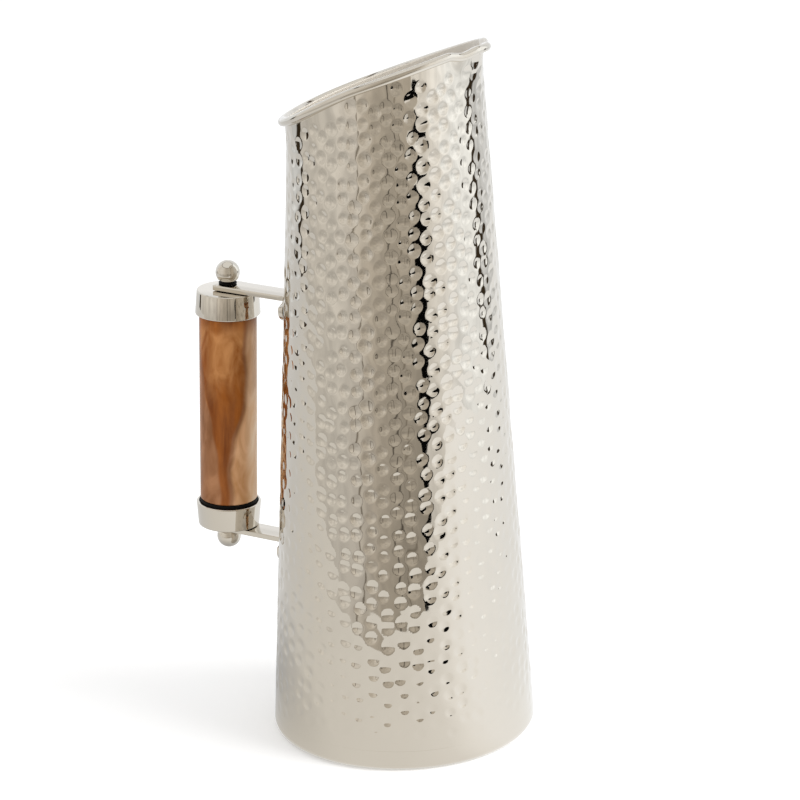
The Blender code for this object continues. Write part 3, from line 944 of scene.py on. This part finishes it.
# ---- Black board, seen only in the nickel -----------------------------------------------------
# A narrow board of black felt stands to the right of the camera, below level. It draws the one
# dark line down the wall, and the hammer marks beside it stay bright inside.

board_distance = 3.0
board_level = 0.15

# Each row is a climb and the angles of the board's left and right edge there, in degrees.
board_edges = [
    (-16.5, 26.3, 28.8), (-13.0, 26.2, 29.6), (-11.0, 25.0, 33.5), (-8.3, 24.5, 37.0),
    (-5.7, 25.5, 39.5), (-3.8, 28.0, 39.0), (-2.5, 30.0, 33.0)]


def edge_point(degrees, climb):
    """A point at an angle from the front and a climb from level, both in degrees."""
    turn, climb = math.radians(degrees) + front, math.radians(climb)
    flat = board_distance * math.cos(climb)
    return (flat * math.cos(turn), flat * math.sin(turn), board_level + board_distance * math.sin(climb))


board = bpy.data.meshes.new("black_board")
board_points = [edge_point(side, climb) for climb, left, far in board_edges for side in (left, far)]
board_strips = [(2 * k, 2 * k + 1, 2 * k + 3, 2 * k + 2) for k in range(len(board_edges) - 1)]
board.from_pydata(board_points, [], board_strips)
felt = {"Base Color": (0.003, 0.003, 0.003, 1), "Specular IOR Level": 0.0}
board.materials.append(bare_finish("black_felt", felt)[0])
black_board = bpy.data.objects.new("black_board", board)
bpy.context.scene.collection.objects.link(black_board)
mirrored_only(black_board)

# ---- Room -------------------------------------------------------------------------------------
# The room is an even soft white for light and backdrop. For polished metal it is painted all
# round in broad soft panels, greige in front, beige to the left and white to the right.

soft_light = 0.86
backdrop_light = 1.1
day_white = (0.95, 0.97, 1.0)
pale_grey = (0.84, 0.87, 0.90)
warm_white = (0.83, 0.81, 0.775)
stone = (0.755, 0.73, 0.685)
warm_grey = (0.785, 0.76, 0.715)
soft_beige = (0.75, 0.715, 0.665)
greige = (0.61, 0.56, 0.49)
deep_greige = (0.51, 0.465, 0.40)
seam = (0.20, 0.17, 0.13)
dark_seam = (0.06, 0.05, 0.04)
umber = (0.05, 0.035, 0.02)
milk = (0.93, 0.91, 0.87)
bright_white = (1.19, 1.235, 1.27)
cornice = (0.10, 0.07, 0.05)

room = bpy.data.worlds.new("studio")
bpy.context.scene.world = room
room.use_nodes = True
room.node_tree.nodes.clear()
node = room.node_tree.nodes.new
link = room.node_tree.links.new
way = node("ShaderNodeTexCoord")
turned_way = set_inputs(node("ShaderNodeMapping"), {"Rotation": (0, 0, -front)})
link(way.outputs["Generated"], turned_way.inputs["Vector"])
round_room = node("ShaderNodeTexGradient")
round_room.gradient_type = "RADIAL"
link(turned_way.outputs["Vector"], round_room.inputs["Vector"])
climb = node("ShaderNodeSeparateXYZ")
link(way.outputs["Generated"], climb.inputs["Vector"])


def eased(source, from_range, to_range):
    """A straight change of one value's range into another, clamped at both ends."""
    change = set_inputs(node("ShaderNodeMapRange"), {
        "From Min": from_range[0], "From Max": from_range[1], "To Min": to_range[0], "To Max": to_range[1]})
    link(source, change.inputs["Value"])
    return change


# Panels below level, with thin dark gaps between them, and plainer panels above.
lower_panels = node("ShaderNodeValToRGB")
link(round_room.outputs["Fac"], lower_panels.inputs["Fac"])
paint_ramp(lower_panels.color_ramp, [
    (-180, day_white), (-135, pale_grey), (-120, pale_grey), (-119, umber), (-111, umber),
    (-110, warm_white), (-88, stone), (-60, warm_grey), (-38, soft_beige), (-37, seam),
    (-36.3, seam), (-35.5, (0.72, 0.68, 0.62)), (-22, greige), (-7, deep_greige),
    (-1.4, deep_greige), (-0.9, dark_seam), (0.1, dark_seam), (0.6, deep_greige),
    (9.4, deep_greige), (10, seam), (10.6, deep_greige), (29, deep_greige), (29.2, milk),
    (42, milk), (60, (1.07, 1.07, 1.06)), (80, bright_white), (105.5, bright_white),
    (107, umber), (114.5, umber), (116.5, pale_grey), (180, day_white)])
upper_panels = node("ShaderNodeValToRGB")
link(round_room.outputs["Fac"], upper_panels.inputs["Fac"])
paint_ramp(upper_panels.color_ramp, [
    (-180, day_white), (-125, pale_grey), (-110, (0.82, 0.80, 0.765)), (-88, stone),
    (-60, warm_grey), (-38, (0.72, 0.685, 0.63)), (-22, (0.60, 0.555, 0.49)),
    (-7, (0.51, 0.47, 0.41)), (29, (0.51, 0.47, 0.41)), (44, milk), (80, bright_white),
    (115, bright_white), (130, pale_grey), (180, day_white)])
above_level = eased(climb.outputs["Z"], (-0.05, 0.0), (0.0, 1.0))
above_level.interpolation_type = "SMOOTHSTEP"
both_heights = node("ShaderNodeMix")
both_heights.data_type = "RGBA"
link(above_level.outputs["Result"], both_heights.inputs["Factor"])
link(lower_panels.outputs["Color"], both_heights.inputs["A"])
link(upper_panels.outputs["Color"], both_heights.inputs["B"])

# The panels are darker towards the floor and a little uneven.
dimmer = eased(climb.outputs["Z"], (-0.245, -0.09), (0.84, 1.13))
clutter = set_inputs(node("ShaderNodeTexNoise"), {"Scale": 7.0, "Detail": 4.0})
link(way.outputs["Generated"], clutter.inputs["Vector"])
patches = eased(clutter.outputs["Fac"], (0.35, 0.62), (0.86, 1.07))
level = node("ShaderNodeMath")
level.operation = "MULTIPLY"
link(dimmer.outputs["Result"], level.inputs[0])
link(patches.outputs["Result"], level.inputs[1])
shaded_panels = node("ShaderNodeVectorMath")
shaded_panels.operation = "SCALE"
link(both_heights.outputs["Result"], shaded_panels.inputs[0])
link(level.outputs["Value"], shaded_panels.inputs["Scale"])

# A dark cornice and a bright ceiling, high up.
ceiling = node("ShaderNodeValToRGB")
link(climb.outputs["Z"], ceiling.inputs["Fac"])
ceiling.color_ramp.elements.remove(ceiling.color_ramp.elements[-1])
ceiling.color_ramp.elements[0].position = 0.755
ceiling.color_ramp.elements[0].color = (0.05, 0.04, 0.03, 0)
for position, shade in ((0.765, cornice), (0.79, cornice), (0.80, (0.95, 0.95, 0.93))):
    stop = ceiling.color_ramp.elements.new(position)
    stop.color = (*shade, 1)
whole_room = node("ShaderNodeMix")
whole_room.data_type = "RGBA"
link(ceiling.outputs["Alpha"], whole_room.inputs["Factor"])
link(shaded_panels.outputs["Vector"], whole_room.inputs["A"])
link(ceiling.outputs["Color"], whole_room.inputs["B"])

soft = set_inputs(node("ShaderNodeBackground"), {"Color": (1, 1, 1, 1), "Strength": soft_light})
mirrored = node("ShaderNodeBackground")
link(whole_room.outputs["Result"], mirrored.inputs["Color"])
backdrop = set_inputs(node("ShaderNodeBackground"), {"Color": (1, 1, 1, 1), "Strength": backdrop_light})
seen_as = node("ShaderNodeLightPath")
pick_gloss = node("ShaderNodeMixShader")
link(seen_as.outputs["Is Glossy Ray"], pick_gloss.inputs["Fac"])
link(soft.outputs["Background"], pick_gloss.inputs[1])
link(mirrored.outputs["Background"], pick_gloss.inputs[2])
pick_camera = node("ShaderNodeMixShader")
link(seen_as.outputs["Is Camera Ray"], pick_camera.inputs["Fac"])
link(pick_gloss.outputs["Shader"], pick_camera.inputs[1])
link(backdrop.outputs["Background"], pick_camera.inputs[2])
room_out = node("ShaderNodeOutputWorld")
link(pick_camera.outputs["Shader"], room_out.inputs["Surface"])

# ---- Lights -----------------------------------------------------------------------------------
# One large soft key light on the right, and a small narrow spot from the front that lifts the
# inside of the mouth. Neither is mirrored in the nickel.

key = bpy.data.lights.new("key", "AREA")
key.shape = "RECTANGLE"
key.size = 1.2
key.size_y = 1.2
key.energy = 26.0
key_light = bpy.data.objects.new("key", key)
bpy.context.scene.collection.objects.link(key_light)
key_direction = front + math.radians(70)
key_light.location = (1.5 * math.cos(key_direction), 1.5 * math.sin(key_direction), 1.3)
key_light.rotation_euler = (Vector((0, 0, 0.1)) - key_light.location).to_track_quat("-Z", "Y").to_euler()
key_light.visible_glossy = False

fill = bpy.data.lights.new("mouth_fill", "SPOT")
fill.energy = 4.0
fill.color = (1.0, 0.95, 0.86)
fill.spot_size = math.radians(9)
fill.spot_blend = 0.3
fill.shadow_soft_size = 0.03
fill_light = bpy.data.objects.new("mouth_fill", fill)
bpy.context.scene.collection.objects.link(fill_light)
fill_light.location = facing(0.54, 0.0, 0.72)
fill_light.rotation_euler = (Vector((0, 0, 0.285)) - fill_light.location).to_track_quat("-Z", "Y").to_euler()
fill_light.visible_glossy = False
bpy.context.scene.view_settings.view_transform = "Standard"
